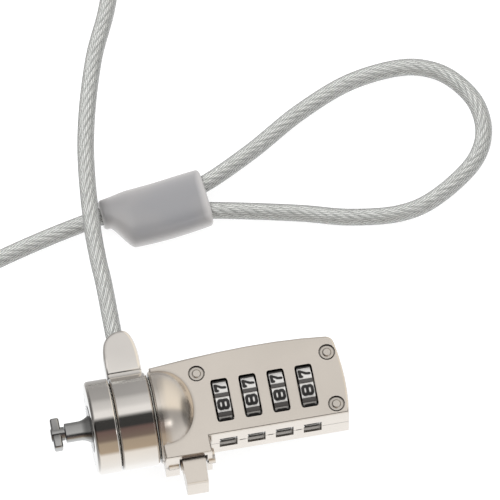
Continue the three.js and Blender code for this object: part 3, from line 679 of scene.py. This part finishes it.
def t_bar():
    """The cast head, a bar across a round hub, on its stepped shaft."""
    low, high = cad_mm("t_bar")
    face, tail = low[0], high[0]
    front, back, half = face + ARM["front"], face + ARM["back"], ARM["half"]
    arms = soft_box((front, low[1], -half), (back, high[1], half), ARM["edge"])
    r, hub_end = HUB["r"], face + HUB["end"]
    nose = rounded((face + HUB["edge"], r - 0.37), HUB["edge"], 180, 90, 5)
    hub = [(face, 0), *nose, (front + 0.3, r), (hub_end, r), (hub_end, 0)]
    start = hub_end - 0.3
    neck, body, step = SHAFT["neck"], SHAFT["body"], SHAFT["step"]
    gear_r, gear_start, edge = SHAFT["gear_r"], SHAFT["gear_start"], SHAFT["edge"]
    shaft = [(start, 0), (start, neck), (step, neck), (step, body), (gear_start, body), (gear_start, gear_r),
             (tail - edge, gear_r), (tail, gear_r - edge), (tail, 0)]
    bar = make_object("t_bar_head", *arms, "steel")
    parts = [make_object("t_bar_part", *turned(profile, 64), "steel") for profile in (hub, shaft)]
    combine(bar, parts, "UNION")
    finish_mesh(bar, "steel", 32)
    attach(bar, "t_bar")
    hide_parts("t_bar")


# ---------------------------------------------------------------------------------------------
# Dial numbers

DIGIT_TALL = 1.6                  # the digits below are drawn 1 wide and this tall
DIGITS = {
    0: [[(0.2, 0), (0.8, 0), (1, 0.2), (1, 1.4), (0.8, 1.6), (0.2, 1.6), (0, 1.4), (0, 0.2), (0.2, 0)]],
    1: [[(0.2, 1.25), (0.55, 1.6), (0.55, 0)]],
    2: [[(0, 1.3), (0, 1.4), (0.2, 1.6), (0.8, 1.6), (1, 1.4), (1, 1.05), (0, 0.25), (0, 0), (1, 0)]],
    3: [[(0, 1.4), (0.2, 1.6), (0.8, 1.6), (1, 1.4), (1, 1.0), (0.8, 0.82), (0.35, 0.82)],
        [(0.8, 0.82), (1, 0.64), (1, 0.2), (0.8, 0), (0.2, 0), (0, 0.2)]],
    4: [[(0.75, 0), (0.75, 1.6), (0, 0.5), (0, 0.4), (1, 0.4)]],
    5: [[(1, 1.6), (0.05, 1.6), (0.05, 0.9), (0.8, 0.9), (1, 0.7), (1, 0.2), (0.8, 0), (0.2, 0), (0, 0.2)]],
    6: [[(0.95, 1.4), (0.8, 1.6), (0.2, 1.6), (0, 1.4), (0, 0.2), (0.2, 0), (0.8, 0), (1, 0.2), (1, 0.7),
         (0.8, 0.9), (0, 0.9)]],
    7: [[(0, 1.35), (0, 1.6), (1, 1.6), (0.45, 0.6), (0.4, 0)]],
    8: [[(0.2, 0.82), (0, 1.0), (0, 1.4), (0.2, 1.6), (0.8, 1.6), (1, 1.4), (1, 1.0), (0.8, 0.82),
         (0.2, 0.82), (0, 0.64), (0, 0.2), (0.2, 0), (0.8, 0), (1, 0.2), (1, 0.64), (0.8, 0.82)]],
    9: [[(0.05, 0.2), (0.2, 0), (0.8, 0), (1, 0.2), (1, 1.4), (0.8, 1.6), (0.2, 1.6), (0, 1.4), (0, 0.95),
         (0.2, 0.75), (1, 0.75)]],
}
GLYPH = {"width": 1.68, "height": 1.95, "stroke": 0.57, "first": 8, "first_angle": 102.0, "step": 36.0}


def finer(line, longest):
    """The same line with no piece of it longer than a limit, so that it can follow a curved land."""
    points = [line[0]]
    for (x0, y0), (x1, y1) in zip(line, line[1:]):
        pieces = math.ceil(abs(x1 - x0) / longest) or 1
        points += [(lerp(x0, x1, k / pieces), lerp(y0, y1, k / pieces)) for k in range(1, pieces + 1)]
    return points


def stroke(line, place, half):
    """A flat-ended ribbon with round joints along a line, raised a little above its base."""
    parts = []
    for (x0, y0), (x1, y1) in zip(line, line[1:]):
        length = math.hypot(x1 - x0, y1 - y0)
        dx, dy = (x1 - x0) / length, (y1 - y0) / length
        outline = []
        for cx, cy, start in ((x1, y1, -90), (x0, y0, 90)):
            for k in range(7):
                a = math.radians(start + 30 * k)
                ox, oy = half * math.cos(a), half * math.sin(a)
                outline.append((cx + ox * dx - oy * dy, cy + ox * dy + oy * dx))
        count = len(outline)
        points = [place(x, y, False) for x, y in outline] + [place(x, y, True) for x, y in outline]
        faces = [list(range(count))[::-1], list(range(count, 2 * count))]
        faces += [[i, (i + 1) % count, (i + 1) % count + count, i + count] for i in range(count)]
        parts.append((points, faces))
    return parts


def dial_numbers(index):
    """The ten digits of a dial, one on each land, their tops towards the nose."""
    low, high = cad_mm(f"dial_{index}")
    x0 = (low[0] + high[0]) / 2
    axis_y, top = dial_size(f"dial_{index}")
    land = top - LAND_DEPTH
    width, height = GLYPH["width"], GLYPH["height"]
    parts = []
    for k in range(10):
        centre = GLYPH["first_angle"] + GLYPH["step"] * k
        digit = (GLYPH["first"] + k) % 10

        def place(across, up, raised):
            r = land + (0.04 if raised else -0.12)
            a = math.radians(centre) - (across - width / 2) / land
            return (x0 - up + height / 2, axis_y + r * math.cos(a), r * math.sin(a))

        for line in DIGITS[digit]:
            sized = [(gx * width, gy * height / DIGIT_TALL) for gx, gy in line]
            parts += stroke(finer(sized, 0.4), place, GLYPH["stroke"] / 2)
    numbers = make_object(f"dial_{index}_numbers", *merge(parts), "ink")
    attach(numbers, f"dial_{index}")


# ---------------------------------------------------------------------------------------------
# CAD nodes that keep their own shape

FINISH = {
    "front_shell": "housing", "back_shell": "housing", "lever": "housing",
    "rivet_1": "rivet", "rivet_2": "rivet", "rivet_3": "rivet", "swivel_collar": "polished",
    "barrel_tube": "steel", "code_shaft": "steel", "lever_pin": "steel",
    "front_bush": "brass", "rear_bush": "brass", "pinion": "brass", "reset_screw": "brass",
    "front_washer": "nylon", "rear_washer": "nylon",
    "detent_comb": "spring", "code_spring": "spring", "lever_spring": "spring",
    "cable_stop": "crimp", "crimp": "crimp",
}
EDGE = {"front_shell": 0.12, "back_shell": 0.12, "lever": 0.15, "swivel_collar": 0.12, "crimp": 0.1}


def finish_nodes():
    """Materials, and the small rounded edges that catch the light."""
    for i in range(1, DIAL_COUNT + 1):
        FINISH[f"dial_{i}"] = "dial"
        FINISH[f"cam_{i}"] = "brass"
    for name, material in FINISH.items():
        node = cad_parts[name]
        node.data.materials.clear()
        node.data.materials.append(MATERIAL[material])
        node.modifiers.new("weld", "WELD").merge_threshold = 1e-6
        flats = node.modifiers.new("flats", "DECIMATE")
        flats.decimate_type = "DISSOLVE"
        flats.angle_limit = math.radians(0.6)
        bevel = node.modifiers.new("edges", "BEVEL")
        bevel.width = EDGE.get(name, 0.05) * MM
        bevel.segments = 2
        bevel.limit_method = "ANGLE"
        bevel.angle_limit = math.radians(32)
        bevel.harden_normals = False
        node.data.polygons.foreach_set("use_smooth", [True] * len(node.data.polygons))
        normals = node.modifiers.new("normals", "WEIGHTED_NORMAL")
        normals.weight = 75
        normals.keep_sharp = False


# ---------------------------------------------------------------------------------------------
# Studio

# Reflected surroundings by angle in degrees from +Y through +Z: straight across, and well to the
# right. SIDEWAYS is a factor on both, by how far the direction leans towards +X.
AHEAD = [(0, 0.4), (38, 0.44), (50, 0.66), (66, 0.76), (76, 0.95), (87, 0.95), (93, 0.3), (97, 0.05),
         (118, 0.045), (125, (0.17, 0.115, 0.105)), (146, (0.22, 0.17, 0.14)), (154, (0.46, 0.38, 0.29)),
         (178, (0.5, 0.41, 0.31)), (188, (0.96, 0.93, 0.89)), (225, (1.03, 1.03, 1.02)),
         (245, (1.14, 1.16, 1.18)), (285, (1.14, 1.16, 1.18)), (310, 0.55), (340, 0.42)]
ASIDE = [(0, (0.75, 0.72, 0.67)), (50, (1.0, 0.96, 0.88)), (90, (1.1, 1.04, 0.94)), (98, 0.4), (125, 0.46),
         (150, 0.62), (185, 0.85), (240, 1.1), (285, 1.2), (330, 0.7)]
SIDEWAYS = [(-1, 0.3), (-0.8, 0.3), (-0.5, 0.65), (-0.25, 1.0), (0.88, 1.0), (0.94, 0.28), (1, 0.28)]
LAMPS = [  # name, direction, distance, diameter, power, seen in reflections
    ("softbox", (-0.35, 0.33, 1.1), 1.2, 0.6, 9.0, False),
    ("low_spot", (0.3, -0.6, 0.74), 0.8, 0.2, 0.16, True)]


def studio():
    """Pale floor, white surroundings, and the soft boxes and dark room that the metal reflects."""
    scene = bpy.context.scene
    scene.view_settings.view_transform = "Standard"
    world = bpy.data.worlds.new("studio")
    scene.world = world
    world.use_nodes = True
    n = Nodes(world.node_tree)
    where = n.add("ShaderNodeTexCoord").outputs["Generated"]
    split = n.add("ShaderNodeSeparateXYZ", {0: where})
    angle = n.math("ARCTAN2", split.outputs[2], split.outputs[1])
    share = n.math("FRACT", n.math("ADD", n.math("DIVIDE", angle, 2 * math.pi), 1.0))
    ahead, aside = [n.ramp(share, [(degrees / 360, colour) for degrees, colour in stops])
                    for stops in (AHEAD, ASIDE)]
    across = n.math("MULTIPLY_ADD", split.outputs[0], 0.5)
    across.node.inputs[2].default_value = 0.5
    turned_away = n.ramp(across, [(0.0, 0.0), (0.56, 0.0), (0.66, 1.0)])
    bands = n.mix(turned_away, ahead, aside)
    wing = n.ramp(across, [((x + 1) / 2, shade) for x, shade in SIDEWAYS])
    seen = n.mix(1.0, bands, wing, blend_type="MULTIPLY")
    path = n.add("ShaderNodeLightPath")
    colour = n.mix(path.outputs["Is Glossy Ray"], (1, 1, 1, 1), seen)
    background = n.add("ShaderNodeBackground", {"Color": colour, "Strength": 1.0})
    n.add("ShaderNodeOutputWorld", {"Surface": background.outputs[0]})

    size = 3.0
    z = TABLE_Z * MM - 0.0003
    mesh = bpy.data.meshes.new("floor")
    corners = [(-size, -size, z), (size, -size, z), (size, size, z), (-size, size, z)]
    mesh.from_pydata(corners, [], [(0, 1, 2, 3)])
    floor = bpy.data.objects.new("floor", mesh)
    scene.collection.objects.link(floor)
    material, n = new_material("floor")
    diffuse = n.add("ShaderNodeBsdfDiffuse", {"Color": (0.3, 0.3, 0.3, 1)})
    glow = n.add("ShaderNodeEmission", {"Color": (1, 1, 1, 1), "Strength": 0.82})
    both = n.add("ShaderNodeAddShader", {0: diffuse.outputs[0], 1: glow.outputs[0]})
    n.add("ShaderNodeOutputMaterial", {"Surface": both.outputs[0]})
    mesh.materials.append(material)
    floor.visible_glossy = False

    middle = place_m(15, -5, 8)
    for name, direction, distance, diameter, power, reflected in LAMPS:
        light = bpy.data.lights.new(name, "AREA")
        light.shape = "DISK"
        light.size = diameter
        light.energy = power
        lamp = bpy.data.objects.new(name, light)
        lamp.location = middle + Vector(direction).normalized() * distance
        lamp.rotation_euler = (middle - lamp.location).to_track_quat("-Z", "Y").to_euler()
        lamp.visible_glossy = reflected
        scene.collection.objects.link(lamp)


# The angles are in degrees, the distance and the picture's width in metres, and the target in
# millimetres from the nose face.
VIEW = {"azimuth": -10.3, "elevation": 68.0, "distance": 4.0, "width": 0.1026694,
        "target": (39.15, 33.05, 0)}


def camera():
    """A steep view of the dial face from the lever's side, through a long lens."""
    azimuth, elevation = math.radians(VIEW["azimuth"]), math.radians(VIEW["elevation"])
    target = place_m(*VIEW["target"])
    distance = VIEW["distance"]
    back = Vector((math.sin(azimuth) * math.cos(elevation), -math.cos(azimuth) * math.cos(elevation),
                   math.sin(elevation)))
    data = bpy.data.cameras.new("camera")
    data.sensor_width = 36.0
    data.lens = data.sensor_width * distance / VIEW["width"]
    data.clip_start, data.clip_end = 0.5, 20.0
    obj = bpy.data.objects.new("camera", data)
    obj.location = target + back * distance
    obj.rotation_mode = "QUATERNION"
    obj.rotation_quaternion = (-back).to_track_quat("-Z", "Y")
    bpy.context.scene.collection.objects.link(obj)
    bpy.context.scene.camera = obj


finish_nodes()
nose_cap()
guard()
t_bar()
cables()
sleeve()
for dial in range(1, DIAL_COUNT + 1):
    dial_numbers(dial)
studio()
camera()
